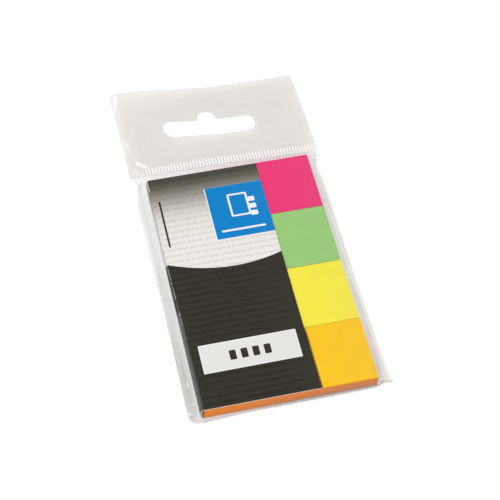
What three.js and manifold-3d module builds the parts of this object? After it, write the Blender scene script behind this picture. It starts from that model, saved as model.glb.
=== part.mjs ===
// Sticky index tabs: four neon pads in a folded card cover, in a clear film pouch with a hanging header.
// Millimetres. The origin is the centre of the pack's back face, where it rests on a table.
// +X runs to the free ends of the tabs, +Y to the header, +Z out of the front.

import * as THREE from "three";
import { mergeVertices } from "three/addons/utils/BufferGeometryUtils.js";
import Module from "manifold-3d";

const wasm = await Module();
wasm.setup();

// Pads: blocks of paper sheets glued at the spine end
const TAB_LENGTH = 49;
const TAB_WIDTH = 20;
const PAD_HEIGHT = 4.1;
const PAD_GAP = 0.1;
const PAD_COLOURS = { pad_pink: 0xee3d7d, pad_green: 0x97d27b, pad_yellow: 0xf9ee4a, pad_orange: 0xfec52c };

// Cover: one sheet of card folded round the glued ends
const CARD = 0.35;
const TAB_SHOWING = 16.2;
const SPINE_GAP = 0.7;

// Pouch: a film tube, welded along both sides and folded at the bottom
const FILM = 0.1;
const PACK_CLEARANCE = 0.3;
const FOLD_BULGE = 0.45;
const SLOPE_LENGTH = 3.1;
const MOUTH_SLIT = 0.1;
const LEFT_WEDGE = 1;
const RIGHT_WEDGE = 1.7;
const LEFT_WELD = 2.25;
const RIGHT_WELD = 2.2;
const LEFT_NOTCH_WELD = 1.3;
const RIGHT_NOTCH_WELD = 0.6;
const NOTCH_BELOW_END = 1.5;
const NOTCH_LENGTH = 2.4;
const NOTCH_TAPER = 7;
const CORNER_BEVEL = 2;

// Header: a film strip sealed over the pouch's mouth
const HEADER_WIDTH = 58.8;
const HEADER_HEIGHT = 28.8;
const HEADER_FILM = 0.2;
const HEADER_LEAN = 0.9;
const SEAL_HEIGHT = 2.9;
const SEAL_OVERLAP = 0.3;
const RIB_PITCH = 1;
const RIB_HEIGHT = 0.14;
const LIFT_LEFT = 3.4;
const DROP_RIGHT = 0.5;
const LIFT_RUN = 0.45;
const LIFT_FLAT_LEFT = 1.4;
const LIFT_FLAT_RIGHT = 21.4;
const CURL_WIDTH = 3;
const CURL_DROP = 1.1;
const BEND_STEP = 1.6;

// Hanging slot: a long slot with a round rise in the middle for the peg
const SLOT_LENGTH = 29;
const SLOT_WIDTH = 6;
const SLOT_ABOVE_SEAL = 12.3;
const SLOT_OFFSET = -1.2;
const PEG_RADIUS = 2.7;
const PEG_RISE = 3.3;
const PEG_FILLET = 1.2;

const ARC_STEPS = 12;
const X_AXIS = new THREE.Vector3(1, 0, 0);
const Y_AXIS = new THREE.Vector3(0, 1, 0);
const Z_AXIS = new THREE.Vector3(0, 0, 1);

const padEndX = (TAB_LENGTH + SPINE_GAP + CARD) / 2;
const padStartX = padEndX - TAB_LENGTH;
const packEndY = (TAB_WIDTH * Object.keys(PAD_COLOURS).length) / 2;
const padsBottom = FILM + CARD;
const padsTop = padsBottom + PAD_HEIGHT;
const cardTop = padsTop + CARD;
const packTop = cardTop + FILM;
const weldZ = packTop / 2;
const spineX = -padEndX;

const cavityLeft = spineX - PACK_CLEARANCE;
const cavityRight = padEndX + PACK_CLEARANCE;
const weldLeft = cavityLeft - LEFT_WEDGE;
const weldRight = cavityRight + RIGHT_WEDGE;
const cavityEndY = packEndY + PACK_CLEARANCE;
const sealBottom = cavityEndY + SLOPE_LENGTH;
const sealTop = sealBottom + SEAL_HEIGHT;
const mouthZ = MOUTH_SLIT / 2 + FILM;

// A closed outline in the plane of two axes, pushed out to both sides of it.
function prism(outline, depth, uAxis, vAxis) {
  const geometry = new THREE.ExtrudeGeometry(outline, { depth, bevelEnabled: false, curveSegments: ARC_STEPS });
  const normal = new THREE.Vector3().crossVectors(uAxis, vAxis);
  geometry.translate(0, 0, -depth / 2);
  return geometry.applyMatrix4(new THREE.Matrix4().makeBasis(uAxis, vAxis, normal));
}

function shapeOf(points) {
  return new THREE.Shape(points.map(([u, v]) => new THREE.Vector2(u, v)));
}

// A geometry as a solid that can be joined and cut.
function solidOf(geometry) {
  const bare = geometry.clone();
  bare.deleteAttribute("normal");
  bare.deleteAttribute("uv");
  const merged = mergeVertices(bare, 1e-4);
  const vertProperties = new Float32Array(merged.attributes.position.array);
  const triVerts = new Uint32Array(merged.index.array);
  return new wasm.Manifold(new wasm.Mesh({ numProp: 3, vertProperties, triVerts }));
}

function geometryOf(solid) {
  const { vertProperties, triVerts } = solid.getMesh();
  const geometry = new THREE.BufferGeometry();
  geometry.setAttribute("position", new THREE.BufferAttribute(vertProperties, 3));
  geometry.setIndex(new THREE.BufferAttribute(triVerts, 1));
  geometry.computeVertexNormals();
  return geometry;
}

function makePad(index, name, color) {
  const geometry = new THREE.BoxGeometry(TAB_LENGTH, TAB_WIDTH - PAD_GAP, PAD_HEIGHT);
  const pad = new THREE.Mesh(geometry, new THREE.MeshStandardMaterial({ color, roughness: 0.75, metalness: 0 }));
  pad.name = name;
  const middleX = (padStartX + padEndX) / 2;
  pad.position.set(middleX, packEndY - TAB_WIDTH * (index + 0.5), padsBottom + PAD_HEIGHT / 2);
  return pad;
}

// The cover's end view: back panel, bowed spine and front flap in one sheet.
function makeCover() {
  const flapX = padEndX - TAB_SHOWING;
  const halfHeight = (cardTop - FILM) / 2;
  const outline = new THREE.Shape();
  outline.moveTo(padEndX, padsBottom);
  outline.absellipse(padStartX, weldZ, SPINE_GAP, PAD_HEIGHT / 2, -Math.PI / 2, Math.PI / 2, true);
  outline.lineTo(flapX, padsTop);
  outline.lineTo(flapX, cardTop);
  outline.absellipse(padStartX, weldZ, SPINE_GAP + CARD, halfHeight, Math.PI / 2, Math.PI * 1.5, false);
  outline.lineTo(padEndX, FILM);
  const geometry = prism(outline, packEndY * 2, X_AXIS, Z_AXIS);
  const cover = new THREE.Mesh(
    geometry,
    new THREE.MeshStandardMaterial({ color: 0x3b3a35, roughness: 0.5, metalness: 0 }),
  );
  cover.name = "cover_card";
  return cover;
}

// The space inside the pouch: a flat bag shape round the pack that ends in a thin slit at its mouth.
function pouchCavity() {
  const section = shapeOf([
    [cavityLeft, FILM],
    [cavityRight, FILM],
    [weldRight, weldZ],
    [cavityRight, cardTop],
    [cavityLeft, cardTop],
    [weldLeft, weldZ],
  ]);
  const beyondMouth = sealTop + SEAL_HEIGHT;
  const profile = shapeOf([
    [-cavityEndY, FILM],
    [cavityEndY, FILM],
    [sealBottom, weldZ - MOUTH_SLIT / 2],
    [beyondMouth, weldZ - MOUTH_SLIT / 2],
    [beyondMouth, weldZ + MOUTH_SLIT / 2],
    [sealBottom, weldZ + MOUTH_SLIT / 2],
    [cavityEndY, cardTop],
    [-cavityEndY, cardTop],
    [-cavityEndY - FOLD_BULGE, weldZ],
  ]);
  const along = solidOf(prism(section, beyondMouth * 4, X_AXIS, Z_AXIS));
  return along.intersect(solidOf(prism(profile, HEADER_WIDTH * 2, Y_AXIS, Z_AXIS)));
}

// The pouch's outside: the cavity's walls set out by the film, with the two side welds as flat fins.
function pouchOutside() {
  const finLeft = weldLeft - LEFT_WELD;
  const finRight = weldRight + RIGHT_WELD;
  const wide = HEADER_WIDTH;
  const section = shapeOf([
    [cavityLeft - FILM, 0],
    [cavityRight + FILM, 0],
    [weldRight + FILM, weldZ - FILM],
    [wide, weldZ - FILM],
    [wide, weldZ + FILM],
    [weldRight + FILM, weldZ + FILM],
    [cavityRight + FILM, packTop],
    [cavityLeft - FILM, packTop],
    [weldLeft - FILM, weldZ + FILM],
    [-wide, weldZ + FILM],
    [-wide, weldZ - FILM],
    [weldLeft - FILM, weldZ - FILM],
  ]);
  const profile = shapeOf([
    [-cavityEndY - FILM, 0],
    [cavityEndY + FILM, 0],
    [sealBottom + FILM, weldZ - mouthZ],
    [sealTop, weldZ - mouthZ],
    [sealTop, weldZ + mouthZ],
    [sealBottom + FILM, weldZ + mouthZ],
    [cavityEndY + FILM, packTop],
    [-cavityEndY - FILM, packTop],
    [-cavityEndY - FOLD_BULGE - FILM, weldZ],
  ]);
  const bottomY = -cavityEndY - FOLD_BULGE - FILM;
  const notchTop = packEndY - NOTCH_BELOW_END + NOTCH_LENGTH / 2;
  const notchBottom = notchTop - NOTCH_LENGTH;
  const plan = shapeOf([
    [finLeft + CORNER_BEVEL, bottomY],
    [finRight, bottomY],
    [finRight, notchBottom - NOTCH_TAPER],
    [weldRight + RIGHT_NOTCH_WELD, notchBottom],
    [weldRight + RIGHT_NOTCH_WELD, notchTop],
    [HEADER_WIDTH / 2, sealBottom],
    [HEADER_WIDTH / 2, sealTop],
    [-HEADER_WIDTH / 2, sealTop],
    [-HEADER_WIDTH / 2, sealBottom],
    [weldLeft - LEFT_NOTCH_WELD, notchTop],
    [weldLeft - LEFT_NOTCH_WELD, notchBottom],
    [finLeft, notchBottom - NOTCH_TAPER],
    [finLeft, bottomY + CORNER_BEVEL],
  ]);
  const along = solidOf(prism(section, sealTop * 4, X_AXIS, Z_AXIS));
  const across = solidOf(prism(profile, HEADER_WIDTH * 2, Y_AXIS, Z_AXIS));
  return along.intersect(across).intersect(solidOf(prism(plan, packTop * 4, X_AXIS, Y_AXIS)));
}

function makePouch() {
  const geometry = geometryOf(pouchOutside().subtract(pouchCavity()));
  const material = new THREE.MeshStandardMaterial({
    color: 0xe9e8e6,
    roughness: 0.15,
    metalness: 0,
    transparent: true,
    opacity: 0.2,
    side: THREE.DoubleSide,
  });
  const pouch = new THREE.Mesh(geometry, material);
  pouch.name = "pouch";
  return pouch;
}

// How far the header stands off the seal's height: up at the left, a little down at the right.
function headerLift(x, y) {
  const height = THREE.MathUtils.clamp((y - sealTop) / HEADER_HEIGHT, 0, 1);
  const rise = Math.sin((Math.PI / 2) * Math.min(height / LIFT_RUN, 1));
  const halfWidth = HEADER_WIDTH / 2;
  const across = THREE.MathUtils.smoothstep(x, LIFT_FLAT_LEFT - halfWidth, halfWidth - LIFT_FLAT_RIGHT);
  const lift = THREE.MathUtils.lerp(LIFT_LEFT, -DROP_RIGHT, across);
  const curl = THREE.MathUtils.clamp((CURL_WIDTH - halfWidth - x) / CURL_WIDTH, 0, 1);
  return lift * rise - CURL_DROP * curl * curl * height;
}

// The free part of the header: a thin plate bent to its lift and leaning a little.
function headerStrip() {
  const steps = [Math.round(HEADER_WIDTH / BEND_STEP), Math.round(HEADER_HEIGHT / BEND_STEP)];
  const plate = new THREE.BoxGeometry(HEADER_WIDTH, HEADER_HEIGHT, HEADER_FILM, ...steps, 1);
  plate.translate(0, sealTop + HEADER_HEIGHT / 2, weldZ);
  const position = plate.attributes.position;
  for (let i = 0; i < position.count; i += 1) {
    const x = position.getX(i);
    const y = position.getY(i);
    const lean = (HEADER_LEAN * (y - sealTop)) / HEADER_HEIGHT;
    position.setX(i, x - lean);
    position.setZ(i, position.getZ(i) + headerLift(x, y));
  }
  return solidOf(plate);
}

// The sealed band: ribs that run along Y, pressed into both faces of the layers.
function headerSeal() {
  const faceZ = mouthZ + HEADER_FILM / 2;
  const ribs = Math.floor(HEADER_WIDTH / RIB_PITCH);
  const pitch = HEADER_WIDTH / ribs;
  const top = [];
  for (let rib = 0; rib < ribs; rib += 1) {
    const x = rib * pitch - HEADER_WIDTH / 2;
    top.push([x, faceZ], [x + pitch / 2, faceZ + RIB_HEIGHT]);
  }
  top.push([HEADER_WIDTH / 2, faceZ]);
  const under = top.map(([x, z]) => [x, -z]).reverse();
  const outline = shapeOf([...under, ...top]);
  const height = SEAL_HEIGHT - FILM + SEAL_OVERLAP;
  const band = prism(outline, height, X_AXIS, Z_AXIS);
  band.translate(0, sealBottom + FILM + height / 2, weldZ);
  return solidOf(band);
}

// The slot's outline: round ends, and the peg's rise blended into the upper edge by two fillets.
function slotOutline() {
  const half = SLOT_WIDTH / 2;
  const straight = SLOT_LENGTH / 2 - half;
  const pegY = half + PEG_RISE - PEG_RADIUS;
  const filletY = half + PEG_FILLET;
  const reach = PEG_RADIUS + PEG_FILLET;
  const angle = Math.asin((filletY - pegY) / reach);
  const filletX = reach * Math.cos(angle);
  const outline = new THREE.Shape();
  outline.moveTo(-straight, -half);
  outline.lineTo(straight, -half);
  outline.absarc(straight, 0, half, -Math.PI / 2, Math.PI / 2, false);
  outline.absarc(filletX, filletY, PEG_FILLET, -Math.PI / 2, Math.PI + angle, true);
  outline.absarc(0, pegY, PEG_RADIUS, angle, Math.PI - angle, false);
  outline.absarc(-filletX, filletY, PEG_FILLET, -angle, -Math.PI / 2, true);
  outline.absarc(-straight, 0, half, Math.PI / 2, Math.PI * 1.5, false);
  return outline;
}

function makeHeader() {
  const slot = prism(slotOutline(), packTop * 4, X_AXIS, Y_AXIS);
  slot.translate(SLOT_OFFSET, sealTop + SLOT_ABOVE_SEAL, 0);
  const mouth = new THREE.BoxGeometry(HEADER_WIDTH * 2, sealTop * 2, mouthZ * 2);
  mouth.translate(0, 0, weldZ);
  const solid = headerStrip().add(headerSeal()).subtract(solidOf(slot)).subtract(solidOf(mouth));
  const material = new THREE.MeshStandardMaterial({
    color: 0xe4e1dc,
    roughness: 0.35,
    metalness: 0,
    transparent: true,
    opacity: 0.6,
    side: THREE.DoubleSide,
  });
  const header = new THREE.Mesh(geometryOf(solid), material);
  header.name = "hang_header";
  return header;
}

const pack = new THREE.Group();
pack.name = "index_tabs";
Object.entries(PAD_COLOURS).forEach(([name, color], index) => pack.add(makePad(index, name, color)));
pack.add(makeCover(), makePouch(), makeHeader());

export default pack;
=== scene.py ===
import math
import random

import bmesh
import bpy
from mathutils import Matrix, Vector, noise


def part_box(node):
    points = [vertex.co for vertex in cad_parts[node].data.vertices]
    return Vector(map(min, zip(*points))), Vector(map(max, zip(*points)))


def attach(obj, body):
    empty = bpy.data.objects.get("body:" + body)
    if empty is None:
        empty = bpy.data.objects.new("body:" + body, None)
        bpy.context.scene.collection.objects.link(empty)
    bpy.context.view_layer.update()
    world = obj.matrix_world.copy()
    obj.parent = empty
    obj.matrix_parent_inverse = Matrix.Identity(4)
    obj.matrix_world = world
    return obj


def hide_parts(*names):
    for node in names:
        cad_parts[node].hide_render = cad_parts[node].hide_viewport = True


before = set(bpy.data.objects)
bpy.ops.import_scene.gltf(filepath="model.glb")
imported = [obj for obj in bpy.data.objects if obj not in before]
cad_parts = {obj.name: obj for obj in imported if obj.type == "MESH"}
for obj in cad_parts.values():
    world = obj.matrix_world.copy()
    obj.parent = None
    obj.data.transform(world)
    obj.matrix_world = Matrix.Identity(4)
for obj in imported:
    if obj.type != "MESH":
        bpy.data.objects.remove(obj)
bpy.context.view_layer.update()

# Paper pads
# Four blocks of neon paper slips, nominally 50 by 20 mm, each forty sheets glued together at the spine end.
# They are guillotined as a block, so the cut edges are nearly flush and show as fine lines.
MM = 0.001
SHEETS = 40
SLIP_SHARE = 0.7
GROOVE_SHARE = 0.86
GROOVE_DEPTH = 0.03 * MM
SLIP_SHIFT = (0.05 * MM, 0.015 * MM)
# Face and cut edge of each colour of paper; the darker cut edge colour holds painted shade for the sides
PAD_COLOURS = {
    "pink": ((0.85, 0.036, 0.187), (0.66, 0.03, 0.13)),
    "green": ((0.325, 0.6, 0.195), (0.24, 0.5, 0.13)),
    "yellow": ((0.95, 0.83, 0.06), (0.85, 0.68, 0.03)),
    "orange": ((1.0, 0.585, 0.006), (1.0, 0.18, 0.03)),
}
# How far each pad's lower and upper side stand past their nominal place, in millimetres
PAD_SPREAD = {"pink": (0.45, 0.3), "green": (0.4, 0.45), "yellow": (0.0, 0.4), "orange": (0.0, 0.0)}
# A thin painted shadow where the card's flap ends on the pads, strongest on the orange one
FLAP_SHADOW_X = 9.0
FLAP_SHADOW_COLOUR = (0.16, 0.02, 0.008, 1)


def new_material(name):
    material = bpy.data.materials.new(name)
    material.use_nodes = True
    return material, material.node_tree, material.node_tree.nodes["Principled BSDF"]


def add_node(tree, kind, values=None, **settings):
    node = tree.nodes.new(kind)
    for key, value in settings.items():
        setattr(node, key, value)
    for socket, value in (values or {}).items():
        if isinstance(value, bpy.types.NodeSocket):
            tree.links.new(value, node.inputs[socket])
        else:
            node.inputs[socket].default_value = value
    return node


def math_node(tree, operation, *values, clamp=False):
    node = add_node(tree, "ShaderNodeMath", dict(enumerate(values)), operation=operation, use_clamp=clamp)
    return node.outputs[0]


def product(tree, first, *others):
    for other in others:
        first = math_node(tree, "MULTIPLY", first, other)
    return first


def vector_node(tree, operation, first, second=None, output="Vector"):
    values = {0: first} if second is None else {0: first, 1: second}
    return add_node(tree, "ShaderNodeVectorMath", values, operation=operation).outputs[output]


def scaled(tree, vector, amount):
    values = {0: vector, "Scale": amount}
    return add_node(tree, "ShaderNodeVectorMath", values, operation="SCALE").outputs[0]


def noise_node(tree, vector, scale):
    return add_node(tree, "ShaderNodeTexNoise", {"Vector": vector, "Scale": scale}).outputs[0]


def add_bump(tree, shader, height, strength, depth):
    bump = add_node(tree, "ShaderNodeBump", {"Height": height, "Strength": strength, "Distance": depth * MM})
    tree.links.new(bump.outputs[0], shader.inputs["Normal"])


def mix_colours(tree, share, first, second):
    values = {"Factor": share, 6: first, 7: second}
    return add_node(tree, "ShaderNodeMix", values, data_type="RGBA").outputs[2]


def ramp(tree, value, low, high, out_low=0.0, out_high=1.0):
    values = {"Value": value, "From Min": low, "From Max": high, "To Min": out_low, "To Max": out_high}
    return add_node(tree, "ShaderNodeMapRange", values, interpolation_type="SMOOTHSTEP").outputs[0]


def object_mm(tree):
    """The piece's own coordinates in millimetres, as a vector and as x, y and z."""
    place = scaled(tree, add_node(tree, "ShaderNodeTexCoord").outputs["Object"], 1 / MM)
    split = add_node(tree, "ShaderNodeSeparateXYZ", {0: place})
    return place, split.outputs[0], split.outputs[1], split.outputs[2]


def group_tree(name, inputs, outputs):
    tree = bpy.data.node_groups.new(name, "ShaderNodeTree")
    for label, kind in inputs:
        tree.interface.new_socket(label, in_out="INPUT", socket_type=kind)
    for label, kind in outputs:
        tree.interface.new_socket(label, in_out="OUTPUT", socket_type=kind)
    return tree, tree.nodes.new("NodeGroupInput"), tree.nodes.new("NodeGroupOutput")


def use_group(tree, group, **values):
    node = tree.nodes.new("ShaderNodeGroup")
    node.node_tree = group
    for label, value in values.items():
        socket = node.inputs[label.replace("_", " ")]
        if isinstance(value, bpy.types.NodeSocket):
            tree.links.new(value, socket)
        else:
            socket.default_value = value
    return node.outputs


# Paper grain: short fibres and a faint cloudiness, for the slips and the card
grain, grain_in, grain_out = group_tree(
    "paper_grain",
    [("Position", "NodeSocketVector"), ("Size", "NodeSocketFloat")],
    [("Height", "NodeSocketFloat"), ("Tone", "NodeSocketFloat")],
)
fibre_place = vector_node(grain, "MULTIPLY", grain_in.outputs["Position"], (1.0, 0.35, 1.0))
fibre_values = {"Vector": fibre_place, "Scale": grain_in.outputs["Size"], "Detail": 3.0, "Distortion": 0.4}
fibres = add_node(grain, "ShaderNodeTexNoise", fibre_values).outputs[0]
clouds = noise_node(grain, grain_in.outputs["Position"], 0.35)
fibre_tone = ramp(grain, fibres, 0.3, 0.7, 0.965, 1.01)
cloud_tone = ramp(grain, clouds, 0.35, 0.65, -0.015, 0.015)
grain.links.new(fibres, grain_out.inputs["Height"])
grain.links.new(math_node(grain, "ADD", fibre_tone, cloud_tone), grain_out.inputs["Tone"])


def neon_paper(name, face_colour, shaded_edge_colour):
    material, tree, shader = new_material(name)
    place, x, y, z = object_mm(tree)
    facing = add_node(tree, "ShaderNodeTexCoord").outputs["Normal"]
    up = math_node(tree, "ABSOLUTE", add_node(tree, "ShaderNodeSeparateXYZ", {0: facing}).outputs[2])
    # The sides, facing away from the light, take the darker cut edge colour: painted shade
    flat = ramp(tree, up, 0.4, 0.9)
    colour = mix_colours(tree, flat, (*shaded_edge_colour, 1), (*face_colour, 1))
    texture = use_group(tree, grain, Position=place, Size=2.2)
    toned = scaled(tree, colour, texture["Tone"])
    # A painted shadow of the flap's end on the pads, darker towards the bottom
    off_flap = math_node(tree, "ABSOLUTE", math_node(tree, "SUBTRACT", x, FLAP_SHADOW_X))
    flap_shadow = product(
        tree,
        flat,
        ramp(tree, off_flap, 0.1, 0.38, 1.0, 0.0),
        ramp(tree, y, -22.0, -19.0, 0.9, 0.1),
        ramp(tree, z, 4.35, 4.5),
    )
    toned = mix_colours(tree, flap_shadow, toned, FLAP_SHADOW_COLOUR)
    tree.links.new(toned, shader.inputs["Base Color"])
    add_bump(tree, shader, texture["Height"], 0.12, 0.02)
    shader.inputs["Roughness"].default_value = 0.8
    shader.inputs["Specular IOR Level"].default_value = 0.2
    return material


def make_piece(shape, name, *materials):
    mesh = bpy.data.meshes.new(name)
    shape.to_mesh(mesh)
    shape.free()
    for material in materials:
        mesh.materials.append(material)
    piece = bpy.data.objects.new(name, mesh)
    bpy.context.scene.collection.objects.link(piece)
    return piece


def place_ring(corners, middle, half, height):
    for corner in corners:
        corner.co.x = middle.x + math.copysign(half.x, corner.co.x - middle.x)
        corner.co.y = middle.y + math.copysign(half.y, corner.co.y - middle.y)
        corner.co.z = height


def raise_ring(shape, top, middle, half, height):
    """Draws the top face up to a new ring of corners and returns the face that closes it."""
    drawn = bmesh.ops.extrude_face_region(shape, geom=[top])["geom"]
    corners = [part for part in drawn if isinstance(part, bmesh.types.BMVert)]
    place_ring(corners, middle, half, height)
    return next(part for part in drawn if isinstance(part, bmesh.types.BMFace))


def stack_of_slips(node, spread):
    """A block of sheets in a CAD pad's box, each sheet a slab with a thin groove over it."""
    low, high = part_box(node)
    low.y += spread[0] * MM
    high.y += spread[1] * MM
    middle = (low + high) / 2
    half = (high - low) / 2 - Vector((SLIP_SHIFT[0], SLIP_SHIFT[1], 0))
    inner = half - Vector((GROOVE_DEPTH, GROOVE_DEPTH, 0))
    pitch = (high.z - low.z) / SHEETS
    shape = bmesh.new()
    bmesh.ops.create_grid(shape, x_segments=1, y_segments=1, size=1, matrix=Matrix.Translation(middle))
    place_ring(shape.verts, middle, half, low.z)
    top = next(iter(shape.faces))
    for sheet in range(SHEETS):
        shift = Vector((random.uniform(-1, 1) * SLIP_SHIFT[0], random.uniform(-1, 1) * SLIP_SHIFT[1], 0))
        base = low.z + sheet * pitch
        if sheet:
            top = raise_ring(shape, top, middle + shift, half, base)
        top = raise_ring(shape, top, middle + shift, half, base + SLIP_SHARE * pitch)
        if sheet < SHEETS - 1:
            top = raise_ring(shape, top, middle + shift, inner, base + GROOVE_SHARE * pitch)
    place_ring(top.verts, middle + shift, half, high.z)
    bmesh.ops.recalc_face_normals(shape, faces=shape.faces)
    return shape


random.seed(40)
for colour_name, (face_colour, shaded_edge_colour) in PAD_COLOURS.items():
    pad = make_piece(
        stack_of_slips(f"pad_{colour_name}", PAD_SPREAD[colour_name]),
        f"slips_{colour_name}",
        neon_paper(f"neon_{colour_name}_paper", face_colour, shaded_edge_colour),
    )
    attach(pad, "root")
    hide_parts(f"pad_{colour_name}")

# Cover card
# One sheet of white board, printed outside, folded round the pads' glued ends: back panel, spine and a flap
# that stops short of the tabs' free ends. The guillotined edges show the white core.
CARD_THICKNESS = 0.35 * MM
TABS_SHOWING = 16.2 * MM
FOLD_STEPS = 24
FOLD_SQUARENESS = 3.0
FLAP_STEPS = 12
CARD_BEVEL = 0.05 * MM
ROW_PITCH = 2.08
ROW_GAPS = 0.43
ROW_SHIFT = 13.7
DASHES_PER_MM = 1.15
PRINT_SOFTNESS = 0.06
CHARCOAL = (0.031, 0.029, 0.0205, 1)
CHARCOAL_MARK = (0.019, 0.018, 0.0125, 1)
# Grey for the painted sheen on the lower spine and the painted shade on the pale spine's outer side
PAINTED_SPINE_GREY = (0.16, 0.158, 0.145, 1)
BLUE_INK = (0.001, 0.222, 0.59, 1)
# Cream for the painted highlights along the spine's crease, edge and top corner
SPINE_HIGHLIGHT = (0.62, 0.58, 0.47, 1)
LABEL_WHITE = (0.80, 0.785, 0.75, 1)
PATCH_EDGE = (0.9, 0.89, 0.86, 1)
BOARD_CORE = (0.78, 0.72, 0.63)
# Greys of the pale field by height, in millimetres up from the pack's middle
GREYS_TOP_Y = 40.0
PRINT_GREYS = [
    (5.0, (0.84, 0.82, 0.78)),
    (15.0, (0.82, 0.80, 0.76)),
    (22.0, (0.78, 0.76, 0.715)),
    (26.0, (0.68, 0.66, 0.62)),
    (29.0, (0.51, 0.49, 0.455)),
    (33.0, (0.28, 0.265, 0.23)),
    (36.0, (0.13, 0.122, 0.095)),
    (38.5, (0.070, 0.062, 0.045)),
]
# Printed shapes, as (left, right, bottom, top) in millimetres
SIDE_BAR = (-22.9, -22.3, 14.5, 31.5)
BLUE_RIM = (-8.8, 9.5, 14.0, 33.4)
BLUE_PATCH = (-8.5, 9.5, 14.3, 33.4)
PAGE_OUTSIDE = (-2.6, 3.4, 21.6, 30.0)
PAGE_INSIDE = (-2.0, 2.8, 22.2, 29.4)
PAGE_TABS = [(3.2, 5.4, 26.3, 28.0), (3.2, 5.4, 23.7, 25.4), (3.2, 5.4, 21.1, 22.8)]
RULE = (-6.6, 6.6, 16.6, 17.3)
LABEL_RIM = (-21.7, 6.2, -29.15, -20.0)
WHITE_LABEL = (-21.4, 5.9, -28.85, -20.3)
LABEL_TABS = 4
LABEL_TAB = (-13.6, -11.7, -26.2, -23.1)
LABEL_TAB_PITCH = 3.3


def greatest(tree, first, *others):
    for other in others:
        first = math_node(tree, "MAXIMUM", first, other)
    return first


# A rounded patch of print: 1 inside a rounded rectangle, 0 outside
patch, patch_in, patch_out = group_tree(
    "printed_patch",
    [
        ("Position", "NodeSocketVector"),
        ("Centre", "NodeSocketVector"),
        ("Half Size", "NodeSocketVector"),
        ("Corner", "NodeSocketFloat"),
    ],
    [("Mask", "NodeSocketFloat")],
)
patch_offset = vector_node(patch, "SUBTRACT", patch_in.outputs["Position"], patch_in.outputs["Centre"])
patch_away = vector_node(patch, "ABSOLUTE", patch_offset)
patch_past = vector_node(patch, "SUBTRACT", patch_away, patch_in.outputs["Half Size"])
patch_split = add_node(patch, "ShaderNodeSeparateXYZ", {0: patch_past})
past_x = math_node(patch, "ADD", patch_split.outputs[0], patch_in.outputs["Corner"])
past_y = math_node(patch, "ADD", patch_split.outputs[1], patch_in.outputs["Corner"])
beyond = {0: greatest(patch, past_x, 0.0), 1: greatest(patch, past_y, 0.0)}
beyond_corner = add_node(patch, "ShaderNodeCombineXYZ", beyond).outputs[0]
beyond_length = vector_node(patch, "LENGTH", beyond_corner, output="Value")
within = math_node(patch, "MINIMUM", greatest(patch, past_x, past_y), 0.0)
from_corner = math_node(patch, "ADD", beyond_length, within)
from_edge = math_node(patch, "SUBTRACT", from_corner, patch_in.outputs["Corner"])
patch.links.new(
    ramp(patch, from_edge, -PRINT_SOFTNESS, PRINT_SOFTNESS, 1.0, 0.0), patch_out.inputs["Mask"]
)

# A straight line between two points, for painted glints, highlights and shadows: 1 along it, 0 outside its
# width
stroke, stroke_in, stroke_out = group_tree(
    "painted_light_line",
    [
        ("Position", "NodeSocketVector"),
        ("Start", "NodeSocketVector"),
        ("End", "NodeSocketVector"),
        ("Width", "NodeSocketFloat"),
    ],
    [("Mask", "NodeSocketFloat")],
)
on_sheet = vector_node(stroke, "MULTIPLY", stroke_in.outputs["Position"], (1.0, 1.0, 0.0))
from_start = vector_node(stroke, "SUBTRACT", on_sheet, stroke_in.outputs["Start"])
whole = vector_node(stroke, "SUBTRACT", stroke_in.outputs["End"], stroke_in.outputs["Start"])
lying = vector_node(stroke, "DOT_PRODUCT", from_start, whole, output="Value")
squared = vector_node(stroke, "DOT_PRODUCT", whole, whole, output="Value")
nearest = scaled(stroke, whole, math_node(stroke, "DIVIDE", lying, squared, clamp=True))
off_line = vector_node(stroke, "DISTANCE", from_start, nearest, output="Value")
off_share = math_node(stroke, "DIVIDE", off_line, stroke_in.outputs["Width"])
stroke.links.new(ramp(stroke, off_share, 0.2, 1.0, 1.0, 0.0), stroke_out.inputs["Mask"])

# Rows of plain dashes of uneven length: 1 on a dash, 0 between them
rows, rows_in, rows_out = group_tree(
    "dashed_rows",
    [("Position", "NodeSocketVector"), ("Pitch", "NodeSocketFloat"), ("Gaps", "NodeSocketFloat")],
    [("Mask", "NodeSocketFloat")],
)
rows_split = add_node(rows, "ShaderNodeSeparateXYZ", {0: rows_in.outputs["Position"]})
row_share = math_node(rows, "DIVIDE", rows_split.outputs[1], rows_in.outputs["Pitch"])
row_number = math_node(rows, "FLOOR", row_share)
row_part = math_node(rows, "FRACT", row_share)
row_band = product(rows, ramp(rows, row_part, 0.22, 0.36), ramp(rows, row_part, 0.5, 0.64, 1.0, 0.0))
along_row = product(rows, rows_split.outputs[0], DASHES_PER_MM)
shifted_row = math_node(rows, "MULTIPLY_ADD", row_number, ROW_SHIFT, along_row)
dash_place = add_node(rows, "ShaderNodeCombineXYZ", {0: shifted_row, 1: row_number}).outputs[0]
dash_values = {"Vector": dash_place, "Scale": 1.0, "Detail": 1.0}
dash_noise = add_node(rows, "ShaderNodeTexNoise", dash_values, noise_dimensions="2D").outputs[0]
past_gap = math_node(rows, "SUBTRACT", dash_noise, rows_in.outputs["Gaps"])
rows.links.new(product(rows, row_band, ramp(rows, past_gap, 0.0, 0.03)), rows_out.inputs["Mask"])

# The arc under the pale field is y = bend x^2 + tilt x + middle, in millimetres
ARC_BEND = 0.011116
ARC_TILT = 0.11796
ARC_MIDDLE = 4.813
# Painted highlights and a painted shadow on the spine, as (start, end, width)
SPINE_CREASE = ((-24.72, 9.0), (-24.37, -12.0), 0.16)
SPINE_EDGE = ((-24.95, 36.0), (-24.9, 11.0), 0.2)
CORNER_CURL = ((-25.0, 39.7), (-24.9, 36.2), 0.62)
CURL_SHADE = ((-24.2, 39.9), (-24.3, 36.9), 0.22)


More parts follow.
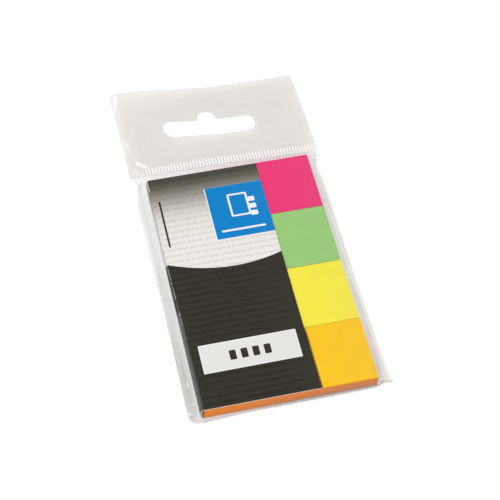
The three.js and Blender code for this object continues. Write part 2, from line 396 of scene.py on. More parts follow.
def patch_mask(tree, place, sides, corner=0.0):
    left, right, bottom, top = sides
    centre = ((left + right) / 2, (bottom + top) / 2, 0.0)
    half = ((right - left) / 2, (top - bottom) / 2, 0.0)
    return use_group(tree, patch, Position=place, Centre=centre, Half_Size=half, Corner=corner)["Mask"]


def stroke_mask(tree, place, start, end, width):
    return use_group(tree, stroke, Position=place, Start=(*start, 0.0), End=(*end, 0.0), Width=width)["Mask"]


def print_fields(tree, place, x, y, z):
    """Charcoal below the arc and a pale field above it that darkens to the top, both with rows of dashes."""
    arc_slope = math_node(tree, "MULTIPLY_ADD", x, ARC_BEND, ARC_TILT)
    above_arc = math_node(tree, "SUBTRACT", y, math_node(tree, "MULTIPLY_ADD", x, arc_slope, ARC_MIDDLE))
    pale = product(tree, ramp(tree, above_arc, -0.08, 0.08), ramp(tree, z, 0.8, 1.2))
    greys = add_node(tree, "ShaderNodeValToRGB", {0: math_node(tree, "DIVIDE", y, GREYS_TOP_Y)})
    stops = greys.color_ramp.elements
    for height, grey in PRINT_GREYS[1:-1]:
        stops.new(height / GREYS_TOP_Y)
    for stop, (height, grey) in zip(stops, PRINT_GREYS):
        stop.position = height / GREYS_TOP_Y
        stop.color = (*grey, 1)
    print_rows = use_group(tree, rows, Position=place, Pitch=ROW_PITCH, Gaps=ROW_GAPS)["Mask"]
    dark = mix_colours(tree, print_rows, CHARCOAL, CHARCOAL_MARK)
    light = scaled(tree, greys.outputs[0], ramp(tree, print_rows, 0.0, 1.0, 1.01, 0.84))
    return pale, mix_colours(tree, pale, dark, light)


def print_shapes(tree, place, colour):
    """A slim bar, a blue patch with a page and a rule, and a white label with four tabs."""
    colour = mix_colours(tree, patch_mask(tree, place, SIDE_BAR, 0.25), colour, CHARCOAL)
    colour = mix_colours(tree, patch_mask(tree, place, BLUE_RIM), colour, PATCH_EDGE)
    colour = mix_colours(tree, patch_mask(tree, place, BLUE_PATCH), colour, BLUE_INK)
    page_outside = patch_mask(tree, place, PAGE_OUTSIDE, 0.6)
    page_inside = patch_mask(tree, place, PAGE_INSIDE, 0.2)
    page_tabs = [patch_mask(tree, place, sides, 0.3) for sides in PAGE_TABS]
    page = greatest(tree, math_node(tree, "SUBTRACT", page_outside, page_inside), *page_tabs)
    white = greatest(tree, page, patch_mask(tree, place, RULE, 0.25))
    colour = mix_colours(tree, white, colour, PATCH_EDGE)
    colour = mix_colours(tree, patch_mask(tree, place, LABEL_RIM), colour, PATCH_EDGE)
    colour = mix_colours(tree, patch_mask(tree, place, WHITE_LABEL), colour, LABEL_WHITE)
    left, right, bottom, top = LABEL_TAB
    for tab in range(LABEL_TABS):
        along = LABEL_TAB_PITCH * tab
        tab_mask = patch_mask(tree, place, (left + along, right + along, bottom, top), 0.35)
        colour = mix_colours(tree, tab_mask, colour, CHARCOAL)
    return colour


def paint_spine_light(tree, place, x, y, z, pale, colour):
    """Painted light on the spine: sheen below, highlights on its crease, edge and curl, and shade."""
    # A painted sheen on the rounded lower spine
    spine_sheen = product(tree, ramp(tree, x, -25.1, -23.7, 1.0, 0.0), ramp(tree, y, -9.5, -6.5, 1.0, 0.0))
    colour = mix_colours(tree, spine_sheen, colour, PAINTED_SPINE_GREY)
    on_front = ramp(tree, z, 3.0, 4.0)
    # Noise breaks the painted highlights up along their length
    highlight_breaks = ramp(tree, noise_node(tree, place, 0.9), 0.4, 0.6)
    crease = product(
        tree, stroke_mask(tree, place, *SPINE_CREASE), math_node(tree, "MULTIPLY_ADD", highlight_breaks, 0.65, 0.1)
    )
    edge = product(tree, stroke_mask(tree, place, *SPINE_EDGE), highlight_breaks, 0.45)
    curl = product(tree, stroke_mask(tree, place, *CORNER_CURL), 0.9)
    # A painted shadow beside the painted highlight of the curl
    curl_shade = product(tree, stroke_mask(tree, place, *CURL_SHADE), on_front, 0.8)
    colour = mix_colours(tree, curl_shade, colour, CHARCOAL)
    glints = product(tree, greatest(tree, crease, edge, curl), on_front)
    colour = mix_colours(tree, glints, colour, SPINE_HIGHLIGHT)
    # Painted shade on the outer side of the pale spine
    pale_side_shade = product(tree, ramp(tree, x, -24.98, -24.75, 0.3, 0.0), pale)
    return mix_colours(tree, pale_side_shade, colour, PAINTED_SPINE_GREY)


def printed_board():
    """The outside of the card, with its print and the painted light on its spine."""
    material, tree, shader = new_material("printed_board")
    place, x, y, z = object_mm(tree)
    pale, colour = print_fields(tree, place, x, y, z)
    colour = print_shapes(tree, place, colour)
    colour = paint_spine_light(tree, place, x, y, z, pale, colour)
    tree.links.new(colour, shader.inputs["Base Color"])
    texture = use_group(tree, grain, Position=place, Size=3.0)
    tree.links.new(ramp(tree, texture["Height"], 0.3, 0.7, 0.42, 0.55), shader.inputs["Roughness"])
    add_bump(tree, shader, texture["Height"], 0.05, 0.02)
    shader.inputs["Specular IOR Level"].default_value = 0.08
    return material


def bare_board():
    """The card's white core at its cut edges, and its unprinted inside."""
    material, tree, shader = new_material("bare_board")
    texture = use_group(tree, grain, Position=object_mm(tree)[0], Size=4.0)
    tree.links.new(scaled(tree, BOARD_CORE, texture["Tone"]), shader.inputs["Base Color"])
    add_bump(tree, shader, texture["Height"], 0.2, 0.03)
    shader.inputs["Roughness"].default_value = 0.85
    shader.inputs["Specular IOR Level"].default_value = 0.2
    return material


def pull_line(shape, tip, step, count):
    """Draws a line on from a vertex by equal steps and returns its new end."""
    for part in range(count):
        drawn = bmesh.ops.extrude_vert_indiv(shape, verts=[tip])["verts"]
        bmesh.ops.translate(shape, vec=step, verts=drawn)
        tip = drawn[0]
    return tip


card_low, card_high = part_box("cover_card")
pad_low, pad_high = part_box("pad_orange")
flap_z = card_high.z - CARD_THICKNESS / 2
back_z = card_low.z + CARD_THICKNESS / 2
fold_axis = Vector((pad_low.x, card_low.y, (flap_z + back_z) / 2))
fold_depth = pad_low.x - card_low.x - CARD_THICKNESS / 2
flap_end_x = pad_high.x - TABS_SHOWING

sheet = bmesh.new()
flap_end = bmesh.ops.create_vert(sheet, co=(flap_end_x, card_low.y, flap_z))["vert"][0]
fold_top = pull_line(sheet, flap_end, Vector(((pad_low.x - flap_end_x) / FLAP_STEPS, 0, 0)), FLAP_STEPS)
turned = bmesh.ops.spin(
    sheet,
    geom=[fold_top],
    cent=fold_axis,
    axis=(0, -1, 0),
    angle=math.pi,
    steps=FOLD_STEPS,
    use_duplicate=False,
)
fold_end = turned["geom_last"][0]
fold_half = (flap_z - back_z) / 2
for corner in sheet.verts:
    if corner.co.x < pad_low.x:
        across_fold = (pad_low.x - corner.co.x) / fold_half
        up_fold = (corner.co.z - fold_axis.z) / fold_half
        corner.co.x = pad_low.x - fold_depth * across_fold ** (2 / FOLD_SQUARENESS)
        corner.co.z = fold_axis.z + math.copysign(fold_half * abs(up_fold) ** (2 / FOLD_SQUARENESS), up_fold)
pull_line(sheet, fold_end, Vector(((card_high.x - pad_low.x) / FLAP_STEPS, 0, 0)), FLAP_STEPS)
drawn = bmesh.ops.extrude_edge_only(sheet, edges=sheet.edges[:])["geom"]
far_side = [part for part in drawn if isinstance(part, bmesh.types.BMVert)]
bmesh.ops.translate(sheet, vec=(0, card_high.y - card_low.y, 0), verts=far_side)
sheet.normal_update()
if max(sheet.faces, key=lambda face: face.calc_center_median().z).normal.z < 0:
    bmesh.ops.reverse_faces(sheet, faces=sheet.faces)
for face in sheet.faces:
    face.smooth = True

cover = make_piece(sheet, "folded_cover", printed_board(), bare_board())
board = cover.modifiers.new("board", "SOLIDIFY")
board.thickness = CARD_THICKNESS
board.offset = 0
board.material_offset = 1
board.material_offset_rim = 1
cut_edge = cover.modifiers.new("cut_edge", "BEVEL")
cut_edge.width = CARD_BEVEL
cut_edge.segments = 2
cut_edge.limit_method = "ANGLE"
cut_edge.angle_limit = math.radians(60)
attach(cover, "root")
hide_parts("cover_card")

# Film pouch
# A flat tube of clear film round the pack, folded tight at the bottom and welded flat down both sides.
# Its mouth is closed in the header's seal, and the welds are nipped into puckered notches below it.
POUCH_FILM = 0.06 * MM
WELD_Z = 2.5
WELD_LEFT = -26.35
WELD_RIGHT = 27.0
LAYER_GAP = 0.05
# Columns of the grid in each weld, and its rows in the folded end, along the pack and on the slope
FIN_COLUMNS = 7
NOSE_ROWS = 8
PACK_ROWS = 84
SLOPE_ROWS = 9
# Where the folded end begins, the slope begins and the mouth is, and how far the mouth sinks at the right
NOSE_START_Y = -40.04
SLOPE_START_Y = 40.6
MOUTH_Y = 43.6
SEAL_DROP = 1.1
# The mouth and the seal sink between these places across the pouch, and the film below them does too:
# a short way down over the pads and further down past their ends
SINK_FROM_X = -8.0
SINK_TO_X = 29.0
PADS_END_X = 25.2
SINK_OVER_PADS_Y = 40.8
SINK_PAST_PADS_Y = 36.0
# How soon the slope closes, the lowest height of the film, and how far its wrinkles stand up
SLOPE_STEEPNESS = 1.06
FILM_LOWEST_Z = 0.05
LONG_WRINKLE = 0.3
SHORT_WRINKLE = 0.14
PUCKER_HEIGHT = 0.75
# The film is puckered between the notches' ends, from nothing to full and back
PUCKER_GROWS = (31.0, 37.5)
PUCKER_FADES = (41.5, 44.2)
# Outline points, (y, x) down each side and (x, y) along the bottom, in millimetres
LEFT_EDGE = [
    (-42.0, -28.45), (-29.0, -28.5), (-14.3, -28.4), (0.0, -28.5), (13.8, -29.1), (25.8, -28.9),
    (31.2, -29.3), (36.0, -28.3), (38.4, -27.9), (40.8, -27.6), (42.0, -28.4), (43.4, -29.3),
]
RIGHT_EDGE = [
    (-41.0, 29.2), (-39.0, 28.9), (-35.0, 28.6), (-28.0, 28.35), (-20.0, 28.2), (27.0, 28.2),
    (32.0, 28.0), (36.5, 27.3), (38.0, 27.6), (39.5, 28.2), (42.0, 29.1), (43.4, 29.4),
]
BOTTOM_EDGE = [
    (-28.5, -40.1), (-27.6, -41.6), (-26.5, -42.45), (-22.0, -42.1), (-12.0, -41.3), (24.0, -40.95),
    (27.0, -40.8), (29.1, -41.1),
]
# Half heights of the tube at places across it, for its front and its back
FRONT_RISE = [
    (WELD_LEFT, 0.0), (-25.8, 0.8), (-25.2, 1.75), (-24.9, 2.12), (-24.6, 2.35), (-24.3, 2.44),
    (-24.0, 2.46), (8.85, 2.46), (9.6, 2.3), (10.8, 2.12), (24.9, 2.12), (25.2, 2.09), (25.8, 1.4),
    (26.4, 0.6), (WELD_RIGHT, 0.0),
]
BACK_RISE = [
    (WELD_LEFT, 0.0), (-25.8, 0.8), (-25.2, 1.75), (-24.9, 2.12), (-24.6, 2.35), (-24.3, 2.44),
    (-24.0, 2.45), (25.1, 2.45), (25.5, 2.0), (26.2, 0.9), (WELD_RIGHT, 0.0),
]
# Places across the pouch of the columns between the welds, closest where the film bends
MIDDLE_COLUMNS = [
    -26.1, -25.8, -25.5, -25.2, -25.05, -24.9, -24.75, -24.6, -24.3, -24.0, -22.0, -18.0, -13.0, -8.0,
    -3.0, 2.0, 6.0, 8.5, 8.9, 9.2, 9.6, 10.2, 10.8, 13.0, 16.0, 19.0, 22.0, 24.5, 24.9, 25.2, 25.5,
    25.8, 26.1, 26.4, 26.7,
]
FILM_GREY = (0.53, 0.51, 0.46, 1)
# Grey for the painted sheen on the film over the folded end
NOSE_SHEEN_GREY = (0.54, 0.49, 0.46, 1)
# Dark colour for the painted shadow along the fold under the folded end
FOLD_SHADE = (0.1, 0.07, 0.06, 1)
# White and pink for the painted reflection on the slope up to the mouth
SLOPE_REFLECTION_WHITE = (0.9, 0.87, 0.84, 1)
PINK_REFLECTION = (1.0, 0.5, 0.62, 1)
GLINT_WHITE = (1.0, 1.0, 1.0, 1)
CLEAREST = 0.001
FOLD_SHADE_SHARE = 0.75
GLINT_SHARE = 0.55
# Painted glints on short folds in the welds, as (start, end, width)
FILM_GLINTS = [
    ((-26.5, -29.6), (-26.6, -30.8), 0.45),
    ((-26.4, -36.2), (-26.1, -36.9), 0.35),
    ((-28.0, -38.6), (-27.6, -39.6), 0.3),
    ((-28.4, 36.6), (-27.4, 38.2), 0.4),
    ((-27.2, 39.4), (-26.0, 41.6), 0.45),
    ((27.6, 36.0), (28.4, 39.0), 0.3),
    ((26.2, -38.6), (28.6, -40.6), 0.35),
    ((27.0, -36.5), (28.4, -39.4), 0.25),
    ((25.6, -40.2), (27.0, -39.6), 0.4),
    ((28.0, -39.8), (29.0, -41.0), 0.25),
]
# Share of light that one face of the film stops, at places across the pouch
SIDE_HAZE = [
    (-29.5, 0.07), (-28.6, 0.09), (-28.0, 0.115), (-27.4, 0.135), (-26.6, 0.09), (-25.9, 0.045),
    (-25.3, 0.02), (-25.0, 0.0), (25.2, 0.0), (25.5, 0.14), (26.1, 0.16), (26.9, 0.13), (27.7, 0.14),
    (28.3, 0.08),
]


def value_on_line(points, place):
    """The value at a place on a line of (place, value) points."""
    for (start, low), (end, high) in zip(points, points[1:]):
        if place <= end:
            return low + (high - low) * max(0.0, (place - start) / (end - start))
    return points[-1][1]


def eased(start, end, value):
    """A smooth step from 0 at the start to 1 at the end."""
    share = min(max((value - start) / (end - start), 0.0), 1.0)
    return share * share * (3 - 2 * share)


def pouch_column(column, y):
    """The place across the pouch of one column of its grid, in millimetres."""
    left = value_on_line(LEFT_EDGE, y)
    right = value_on_line(RIGHT_EDGE, y)
    if column < FIN_COLUMNS:
        return left + (WELD_LEFT - left) * column / FIN_COLUMNS
    middle = column - FIN_COLUMNS - 1
    if middle < 0:
        return WELD_LEFT
    if middle < len(MIDDLE_COLUMNS):
        return MIDDLE_COLUMNS[middle]
    return WELD_RIGHT + (right - WELD_RIGHT) * (middle - len(MIDDLE_COLUMNS)) / FIN_COLUMNS


def pouch_row(row, x):
    """The place along the pouch of one row, in millimetres, and how full the tube is there, from 0 to 1."""
    if row < NOSE_ROWS:
        angle = math.pi / 2 * (1 - row / NOSE_ROWS)
        reach = NOSE_START_Y - value_on_line(BOTTOM_EDGE, x)
        return NOSE_START_Y - reach * math.sin(angle), math.cos(angle)
    row -= NOSE_ROWS
    if row < PACK_ROWS:
        return NOSE_START_Y + (SLOPE_START_Y - NOSE_START_Y) * row / PACK_ROWS, 1.0
    share = (row - PACK_ROWS) / SLOPE_ROWS
    return SLOPE_START_Y + (MOUTH_Y - SLOPE_START_Y) * share, 1.0 - min(share * SLOPE_STEEPNESS, 1.0)


def mouth_drop(x, y):
    """How far the mouth and the header's seal sink towards the right, in millimetres."""
    sink_from_y = SINK_OVER_PADS_Y if x < PADS_END_X else SINK_PAST_PADS_Y
    return SEAL_DROP * eased(SINK_FROM_X, SINK_TO_X, x) * eased(sink_from_y, MOUTH_Y, y)


def film_wrinkle(x, y):
    """How far the layers of film stand off their flat place, in millimetres."""
    fin = eased(WELD_LEFT + 0.6, WELD_LEFT - 0.4, x) + eased(WELD_RIGHT - 0.6, WELD_RIGHT + 0.6, x)
    beside_pads = eased(24.5, 26.0, abs(x)) * 0.3
    pucker = eased(*PUCKER_GROWS, y) * (1.0 - eased(*PUCKER_FADES, y)) * (fin + beside_pads)
    lengthwise = noise.noise(Vector((x * 0.9, y * 0.045, 3.1))) * LONG_WRINKLE * fin
    short = noise.noise(Vector((x * 0.4, y * 0.16, 8.7))) * SHORT_WRINKLE * fin
    nipped = noise.noise(Vector((x * 1.1, y * 0.9, 5.3))) * PUCKER_HEIGHT * pucker
    return lengthwise + short + nipped


columns = 2 * FIN_COLUMNS + len(MIDDLE_COLUMNS) + 2
row_count = NOSE_ROWS + PACK_ROWS + SLOPE_ROWS + 1
tube = bmesh.new()
bmesh.ops.create_grid(tube, x_segments=columns - 1, y_segments=row_count - 1, size=1)
for corner in tube.verts:
    column = round((corner.co.x + 1) / 2 * (columns - 1))
    row = round((corner.co.y + 1) / 2 * (row_count - 1))
    x = pouch_column(column, 0.0)
    y, fullness = pouch_row(row, x)
    x = pouch_column(column, y)
    y, fullness = pouch_row(row, x)
    at_rim = column in (0, columns - 1) or row == 0
    rise = max(value_on_line(FRONT_RISE, x) * fullness, 0.0 if at_rim else LAYER_GAP)
    corner.co = Vector((x, y, WELD_Z + rise)) * MM
bmesh.ops.mirror(
    tube,
    geom=tube.verts[:] + tube.edges[:] + tube.faces[:],
    matrix=Matrix.Translation((0, 0, -WELD_Z * MM)),
    merge_dist=1e-7,
    axis="Z",
)
for corner in tube.verts:
    x, y, z = corner.co / MM
    if z < WELD_Z - 1.5 * LAYER_GAP:
        front = value_on_line(FRONT_RISE, x)
        z = WELD_Z - (WELD_Z - z) * value_on_line(BACK_RISE, x) / max(front, LAYER_GAP)
    corner.co.z = max(z + film_wrinkle(x, y) - mouth_drop(x, y), FILM_LOWEST_Z) * MM
bmesh.ops.recalc_face_normals(tube, faces=tube.faces)
for face in tube.faces:
    face.smooth = True

# Streaks in stretched film: long soft bands with finer lines on them
streaks, streaks_in, streaks_out = group_tree(
    "film_streaks",
    [("Position", "NodeSocketVector"), ("Across", "NodeSocketFloat"), ("Along", "NodeSocketFloat")],
    [("Bands", "NodeSocketFloat"), ("Lines", "NodeSocketFloat")],
)
streaks_split = add_node(streaks, "ShaderNodeSeparateXYZ", {0: streaks_in.outputs["Position"]})
stretch = {
    0: product(streaks, streaks_split.outputs[0], streaks_in.outputs["Across"]),
    1: product(streaks, streaks_split.outputs[1], streaks_in.outputs["Along"]),
}
stretched = add_node(streaks, "ShaderNodeCombineXYZ", stretch).outputs[0]
bands = noise_node(streaks, stretched, 1.0)
lines = noise_node(streaks, stretched, 3.3)
streaks.links.new(ramp(streaks, bands, 0.38, 0.62), streaks_out.inputs["Bands"])
streaks.links.new(ramp(streaks, lines, 0.55, 0.68), streaks_out.inputs["Lines"])


def haze_across(tree, place, levels):
    """A line of (place, level) points as a smooth value over one coordinate."""
    first, last = levels[0][0], levels[-1][0]
    span = {"Value": place, "From Min": first, "From Max": last}
    line = add_node(tree, "ShaderNodeValToRGB", {0: add_node(tree, "ShaderNodeMapRange", span).outputs[0]})
    line.color_ramp.interpolation = "B_SPLINE"
    for at, level in levels[1:-1]:
        line.color_ramp.elements.new((at - first) / (last - first))
    for stop, (at, level) in zip(line.color_ramp.elements, levels):
        stop.position = (at - first) / (last - first)
        stop.color = (level, level, level, 1)
    return line.outputs[0]


def clear_film():
    """Clear over the pack and hazy over the welds, with painted sheen, reflection, shadow and glints."""
    material, tree, shader = new_material("clear_pouch_film")
    place, x, y, z = object_mm(tree)
    marks = use_group(tree, streaks, Position=place, Across=0.9, Along=0.05)

    low_left = product(tree, ramp(tree, x, -25.0, -24.0, 1.0, 0.0), ramp(tree, y, 20.0, -30.0, 0.0, 0.8))
    along = math_node(tree, "ADD", low_left, ramp(tree, y, -40.0, 30.0, 1.2, 0.9))
    banded = product(
        tree, haze_across(tree, x, SIDE_HAZE), along, ramp(tree, marks["Bands"], 0.0, 1.0, 0.86, 1.14)
    )
    # A painted sheen on the film over the folded end, stronger low down and to the right
    nose = ramp(tree, y, NOSE_START_Y - 0.26, NOSE_START_Y - 0.01, 1.0, 0.0)
    sheen = product(
        tree, nose, ramp(tree, z, 5.0, 0.4, 0.03, 0.17), ramp(tree, x, -25.0, 24.0, 0.9, 2.0)
    )
    # A painted reflection on the slope up to the mouth, tinted pink towards the right
    on_slope = ramp(tree, y, SLOPE_START_Y - 0.3, SLOPE_START_Y + 0.6)
    slope = product(
        tree,
        on_slope,
        ramp(tree, x, -22.0, 24.0, 0.06, 0.2),
        ramp(tree, y, MOUTH_Y - 0.5, MOUTH_Y, 1.0, 0.1),
    )
    # A painted shadow along the fold under the folded end
    fold_shadow = product(
        tree,
        ramp(tree, z, 0.3, 0.42, 1.0, 0.0),
        ramp(tree, y, -40.4, -40.2, 1.0, 0.0),
        ramp(tree, x, -14.0, 2.0),
        ramp(tree, x, 24.0, 25.5, 1.0, 0.0),
    )
    # Painted glints on folds in the welds
    glints = greatest(tree, *[stroke_mask(tree, place, *glint) for glint in FILM_GLINTS])
    alpha = greatest(
        tree,
        banded,
        slope,
        sheen,
        product(tree, fold_shadow, FOLD_SHADE_SHARE),
        product(tree, glints, GLINT_SHARE),
        CLEAREST,
    )
    tree.links.new(alpha, shader.inputs["Alpha"])

    colour = mix_colours(tree, nose, FILM_GREY, NOSE_SHEEN_GREY)
    colour = mix_colours(tree, on_slope, colour, SLOPE_REFLECTION_WHITE)
    pink_reflection = product(tree, on_slope, ramp(tree, x, -20.0, 14.0), ramp(tree, x, 24.6, 25.6, 1.0, 0.15))
    colour = mix_colours(tree, pink_reflection, colour, PINK_REFLECTION)
    colour = mix_colours(tree, fold_shadow, colour, FOLD_SHADE)
    colour = mix_colours(tree, glints, colour, GLINT_WHITE)
    tree.links.new(colour, shader.inputs["Base Color"])
    tree.links.new(ramp(tree, marks["Bands"], 0.0, 1.0, 0.12, 0.3), shader.inputs["Roughness"])
    add_bump(tree, shader, marks["Lines"], 0.04, 0.03)
    return material


pouch = make_piece(tube, "clear_pouch", clear_film())
film = pouch.modifiers.new("film", "SOLIDIFY")
film.thickness = POUCH_FILM
film.offset = 0
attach(pouch, "root")
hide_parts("pouch")

# Hanging header
# A doubled strip of hazy film, sealed over the pouch's mouth with a ribbed bar and punched with a peg slot.
# It springs off the table: its left side lifts and its top left corner curls back down.
HEADER_WIDTH = 58.8
SEAL_START_Y = 43.5
SEAL_TOP_Y = 46.3
HEADER_TOP_Y = 75.1
STRIP_HALF = 0.1
BAR_HALF = 0.22
RIBS = 60
RIB_STEPS = 6
RIB_HEIGHT = 0.1
BAR_ROWS = 8
STRIP_ROWS = 30
# The strip is drawn flat between these heights and punched there, and only then bent to its real shape
BLANK_BACK_Z = 4.0
BLANK_FRONT_Z = 6.0
PUNCH_DEPTH = 10.0
# How the strip leans, lifts on the left, drops on the right, curls at its side and is tucked above the seal
LEAN = 0.9
LIFT_LEFT = 3.4
DROP_RIGHT = 0.5
LIFT_RUN = 0.45
LIFT_FROM_X = -28.0
LIFT_TO_X = 8.0
CURL_WIDTH = 3.0
CURL_DROP = 1.1
TUCKS_GROW = (4.0, 14.0)
TUCKS_FADE = (51.5, 47.5)
# The peg slot and its rise: each radius is just under half of what it rounds, so two corners never meet
SLOT_MIDDLE = (-1.2, 58.6)
SLOT_LENGTH = 29.0
SLOT_HEIGHT = 6.0
SLOT_RADIUS = 2.99
PEG_WIDTH = 5.4
PEG_RISE = 3.3
PEG_RADIUS = 2.69
PEG_FILLET = 1.2
ROUND_STEPS = 14
HEADER_GREY = (0.68, 0.645, 0.595, 1)
# White for the painted highlights on the rib crests and along the header's creases
RIB_HIGHLIGHT = (1.0, 0.99, 0.98, 1)
RIB_SHARE = 0.45
# Painted highlights along creases in the strip, as (start, end, width, strength)
HEADER_CREASE_HIGHLIGHTS = [
    ((-28.4, 74.2), (-29.4, 68.8), 0.75, 0.8),
    ((-29.2, 57.0), (-26.0, 48.2), 0.9, 0.25),
    ((-26.3, 48.3), (-23.9, 46.9), 0.85, 1.0),
    ((-27.6, 46.2), (-25.6, 44.2), 0.7, 0.8),
    ((-26.4, 73.9), (-1.0, 74.0), 0.45, 0.12),
    ((10.0, 47.6), (26.0, 48.6), 0.4, 0.2),
    ((-28.4, 66.0), (-28.9, 57.0), 0.4, 0.15),
]


def header_lift(x, y):
    """How far the strip stands off the height of its seal, in millimetres."""
    height = min(max((y - SEAL_TOP_Y) / (HEADER_TOP_Y - SEAL_TOP_Y), 0.0), 1.0)
    rise = math.sin(math.pi / 2 * min(height / LIFT_RUN, 1.0))
    lift = LIFT_LEFT - (LIFT_LEFT + DROP_RIGHT) * eased(LIFT_FROM_X, LIFT_TO_X, x)
    curl = min(max((CURL_WIDTH - HEADER_WIDTH / 2 - x) / CURL_WIDTH, 0.0), 1.0)
    ripple = noise.noise(Vector((x * 0.11, y * 0.13, 1.7))) * 0.22 * rise
    pull = eased(*TUCKS_GROW, x) * eased(*TUCKS_FADE, y) * eased(SEAL_TOP_Y, SEAL_TOP_Y + 0.6, y)
    tucks = noise.noise(Vector((x * 0.12, y * 1.5, 6.1))) * 0.3 * pull
    drop = mouth_drop(x, MOUTH_Y) * (1 - rise) + CURL_DROP * curl * curl * height
    return lift * rise - drop + ripple + tucks


def slot_cutter():
    """The punch: a T of straight edges whose corners are rounded, drawn through the strip."""
    punch = bmesh.new()
    half_length = SLOT_LENGTH / 2
    half_height = SLOT_HEIGHT / 2
    half_peg = PEG_WIDTH / 2
    peg_top = half_height + PEG_RISE
    outline = [
        (-half_length, -half_height, SLOT_RADIUS),
        (half_length, -half_height, SLOT_RADIUS),
        (half_length, half_height, SLOT_RADIUS),
        (half_peg, half_height, PEG_FILLET),
        (half_peg, peg_top, PEG_RADIUS),
        (-half_peg, peg_top, PEG_RADIUS),
        (-half_peg, half_height, PEG_FILLET),
        (-half_length, half_height, SLOT_RADIUS),
    ]
    middle_x, middle_y = SLOT_MIDDLE
    corners = [punch.verts.new(((middle_x + x) * MM, (middle_y + y) * MM, 0.0)) for x, y, radius in outline]
    punch.faces.new(corners)
    radii = [radius for x, y, radius in outline]
    for radius in sorted(set(radii)):
        chosen = [corner for corner, own in zip(corners, radii) if own == radius]
        bmesh.ops.bevel(
            punch,
            geom=chosen,
            offset=radius * MM,
            segments=ROUND_STEPS,
            profile=0.5,
            affect="VERTICES",
            material=-1,
        )
    drawn = bmesh.ops.extrude_face_region(punch, geom=punch.faces[:])["geom"]
    top = [part for part in drawn if isinstance(part, bmesh.types.BMVert)]
    bmesh.ops.translate(punch, vec=(0, 0, PUNCH_DEPTH * MM), verts=top)
    bmesh.ops.recalc_face_normals(punch, faces=punch.faces)
    return make_piece(punch, "slot_punch")


strip = bmesh.new()
across = RIBS * RIB_STEPS
along = BAR_ROWS + STRIP_ROWS
bmesh.ops.create_grid(strip, x_segments=across, y_segments=along, size=1)
for corner in strip.verts:
    row = round((corner.co.y + 1) / 2 * along)
    if row <= BAR_ROWS:
        y = SEAL_START_Y + (SEAL_TOP_Y - SEAL_START_Y) * row / BAR_ROWS
    else:
        y = SEAL_TOP_Y + (HEADER_TOP_Y - SEAL_TOP_Y) * (row - BAR_ROWS) / STRIP_ROWS
    corner.co = Vector((corner.co.x * HEADER_WIDTH / 2, y, BLANK_BACK_Z)) * MM
drawn = bmesh.ops.extrude_face_region(strip, geom=strip.faces[:])["geom"]
front_side = [part for part in drawn if isinstance(part, bmesh.types.BMVert)]
bmesh.ops.translate(strip, vec=(0, 0, (BLANK_FRONT_Z - BLANK_BACK_Z) * MM), verts=front_side)
bmesh.ops.recalc_face_normals(strip, faces=strip.faces)
header = make_piece(strip, "hanging_header")
punch = slot_cutter()
punched = header.modifiers.new("punched", "BOOLEAN")
punched.operation = "DIFFERENCE"
punched.solver = "EXACT"
punched.object = punch
flat_mesh = bpy.data.meshes.new_from_object(header.evaluated_get(bpy.context.evaluated_depsgraph_get()))
header.modifiers.remove(punched)
bpy.data.objects.remove(punch)

bent = bmesh.new()
bent.from_mesh(flat_mesh)
for corner in bent.verts:
    x, y, z = corner.co / MM
    side = 1.0 if z > (BLANK_BACK_Z + BLANK_FRONT_Z) / 2 else -1.0
    in_bar = eased(SEAL_TOP_Y + 0.1, SEAL_TOP_Y - 0.15, y)
    rib_end = eased(SEAL_START_Y, SEAL_START_Y + 0.4, y) * in_bar
    phase = (x + HEADER_WIDTH / 2) / HEADER_WIDTH * RIBS * 2 * math.pi
    rib = RIB_HEIGHT * (0.5 - 0.5 * math.cos(phase)) * rib_end
    half = STRIP_HALF + (BAR_HALF - STRIP_HALF) * in_bar + rib
    lean = LEAN * max(y - SEAL_TOP_Y, 0.0) / (HEADER_TOP_Y - SEAL_TOP_Y)
    corner.co = Vector((x - lean, y, WELD_Z + header_lift(x, y) + side * half)) * MM
bmesh.ops.triangulate(bent, faces=[face for face in bent.faces if len(face.verts) > 4])
bmesh.ops.recalc_face_normals(bent, faces=bent.faces)
for face in bent.faces:
    face.smooth = True
bent.to_mesh(header.data)
bent.free()
bpy.data.meshes.remove(flat_mesh)
header.data.set_sharp_from_angle(angle=math.radians(50))


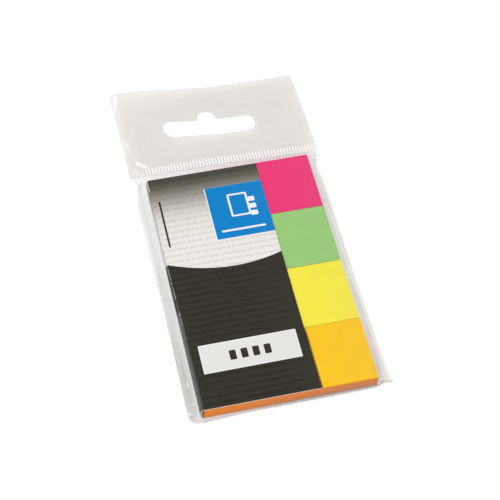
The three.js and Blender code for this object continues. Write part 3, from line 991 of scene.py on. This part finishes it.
def hazy_film():
    """Doubled film: an even grey haze, with painted highlights on the rib crests, creases and left edge."""
    material, tree, shader = new_material("hazy_header_film")
    place, x, y, z = object_mm(tree)
    turns = product(tree, math_node(tree, "ADD", x, HEADER_WIDTH / 2), RIBS * 2 * math.pi / HEADER_WIDTH)
    crest = math_node(tree, "MULTIPLY_ADD", math_node(tree, "COSINE", turns), -0.5, 0.5)
    # Painted highlights on the rib crests
    rib_highlights = product(
        tree,
        ramp(tree, y, SEAL_START_Y - 0.1, SEAL_START_Y + 0.2),
        ramp(tree, y, SEAL_TOP_Y - 0.1, SEAL_TOP_Y + 0.3, 1.0, 0.0),
        ramp(tree, crest, 0.25, 0.6),
        ramp(tree, x, -25.5, -23.0, 0.35, 1.0),
    )
    haze = use_group(tree, streaks, Position=place, Across=0.12, Along=0.3)
    even = product(
        tree,
        ramp(tree, haze["Bands"], 0.0, 1.0, 0.37, 0.39),
        ramp(tree, x, -20.0, 25.0, 1.04, 0.97),
        ramp(tree, y, SEAL_START_Y + 0.02, SEAL_START_Y + 0.4, 0.05, 1.0),
    )
    # Painted highlights along the creases
    crease_highlights = [
        product(tree, stroke_mask(tree, place, start, end, width), strength)
        for start, end, width, strength in HEADER_CREASE_HIGHLIGHTS
    ]
    # The white also holds a painted highlight along the folded left edge
    white = greatest(tree, rib_highlights, ramp(tree, x, -29.4, -28.0, 0.15, 0.0), *crease_highlights)
    seal_z = ramp(tree, x, SINK_FROM_X, SINK_TO_X, WELD_Z, WELD_Z - SEAL_DROP)
    front = ramp(tree, math_node(tree, "SUBTRACT", z, seal_z), -0.1, 0.1, 0.1, 1.0)
    alpha = math_node(tree, "MULTIPLY_ADD", product(tree, rib_highlights, front), RIB_SHARE, even)
    tree.links.new(alpha, shader.inputs["Alpha"])
    tree.links.new(mix_colours(tree, white, HEADER_GREY, RIB_HIGHLIGHT), shader.inputs["Base Color"])
    add_bump(tree, shader, haze["Bands"], 0.03, 0.05)
    shader.inputs["Roughness"].default_value = 0.3
    return material


header.data.materials.append(hazy_film())
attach(header, "root")
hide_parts("hang_header")

# Table and backdrop
# A white sweep that shows as plain white to the camera and keeps the pack's own soft shadow.
FLOOR_DROP = 0.05 * MM
FLOOR_HALF = 0.9
FLOOR_COLOUR = (0.8, 0.8, 0.8, 1)
SHOWN_WHITE = 0.5
table = bmesh.new()
bmesh.ops.create_grid(
    table, x_segments=1, y_segments=1, size=FLOOR_HALF, matrix=Matrix.Translation((0, 0, -FLOOR_DROP))
)


def seen_directly(tree):
    path = add_node(tree, "ShaderNodeLightPath")
    total = math_node(tree, "ADD", path.outputs["Is Camera Ray"], path.outputs["Is Glossy Ray"])
    return math_node(tree, "ADD", total, path.outputs["Is Transmission Ray"], clamp=True)


white_table, table_tree, table_shader = new_material("white_table")
table_shader.inputs["Base Color"].default_value = FLOOR_COLOUR
table_shader.inputs["Roughness"].default_value = 0.9
table_shader.inputs["Specular IOR Level"].default_value = 0.0
table_shader.inputs["Emission Color"].default_value = (1, 1, 1, 1)
shown = product(table_tree, seen_directly(table_tree), SHOWN_WHITE)
table_tree.links.new(shown, table_shader.inputs["Emission Strength"])
make_piece(table, "table_top", white_table)

# Studio light
# An even white room, one broad soft lamp above and to the left, and a weaker one from the front right.
ROOM_LEVEL = 0.78
KEY_POWER = 1.0
KEY_SIZE = 0.5
KEY_PLACE = Vector((-0.3, 0.1, 0.55))
FILL_POWER = 0.4
FILL_SIZE = 0.4
FILL_PLACE = Vector((0.35, -0.4, 0.45))
LIGHT_AIM = Vector((0.0, 0.005, 0.0))
room = bpy.data.worlds.new("white_room")
room.use_nodes = True
bpy.context.scene.world = room
room_tree = room.node_tree
background = room_tree.nodes["Background"]
background.inputs["Color"].default_value = (1, 1, 1, 1)
room_tree.links.new(
    ramp(room_tree, seen_directly(room_tree), 0.0, 1.0, ROOM_LEVEL, 1.0), background.inputs["Strength"]
)


def soft_lamp(name, place, power, size):
    light = bpy.data.lights.new(name, "AREA")
    light.energy = power
    light.size = size
    lamp = bpy.data.objects.new(name, light)
    lamp.location = place
    lamp.rotation_euler = (LIGHT_AIM - place).to_track_quat("-Z", "Y").to_euler()
    bpy.context.scene.collection.objects.link(lamp)


soft_lamp("key_lamp", KEY_PLACE, KEY_POWER, KEY_SIZE)
soft_lamp("fill_lamp", FILL_PLACE, FILL_POWER, FILL_SIZE)

# Camera
# A long lens above the lower left of the pack, turned a little on its axis, as the photograph was taken.
CAMERA_AZIMUTH = math.radians(-14.98)
CAMERA_ELEVATION = math.radians(54.89)
CAMERA_ROLL = math.radians(2.46)
CAMERA_TARGET = Vector((0.34, 10.49, 2.5)) * MM
CAMERA_DISTANCE = 422.8 * MM
LENS_LENGTH = 103.95
SENSOR_WIDTH = 36.0
turn = (
    Matrix.Rotation(CAMERA_AZIMUTH, 4, "Z")
    @ Matrix.Rotation(math.pi / 2 - CAMERA_ELEVATION, 4, "X")
    @ Matrix.Rotation(CAMERA_ROLL, 4, "Z")
)
lens = bpy.data.cameras.new("photo_camera")
lens.lens = LENS_LENGTH
lens.sensor_width = SENSOR_WIDTH
lens.clip_start = 0.01
camera = bpy.data.objects.new("photo_camera", lens)
camera.matrix_world = Matrix.Translation(CAMERA_TARGET) @ turn @ Matrix.Translation((0, 0, CAMERA_DISTANCE))
bpy.context.scene.collection.objects.link(camera)
bpy.context.scene.camera = camera
bpy.context.scene.view_settings.view_transform = "Standard"

# The view layer is brought up to date, so every piece stands in its final place.
bpy.context.view_layer.update()
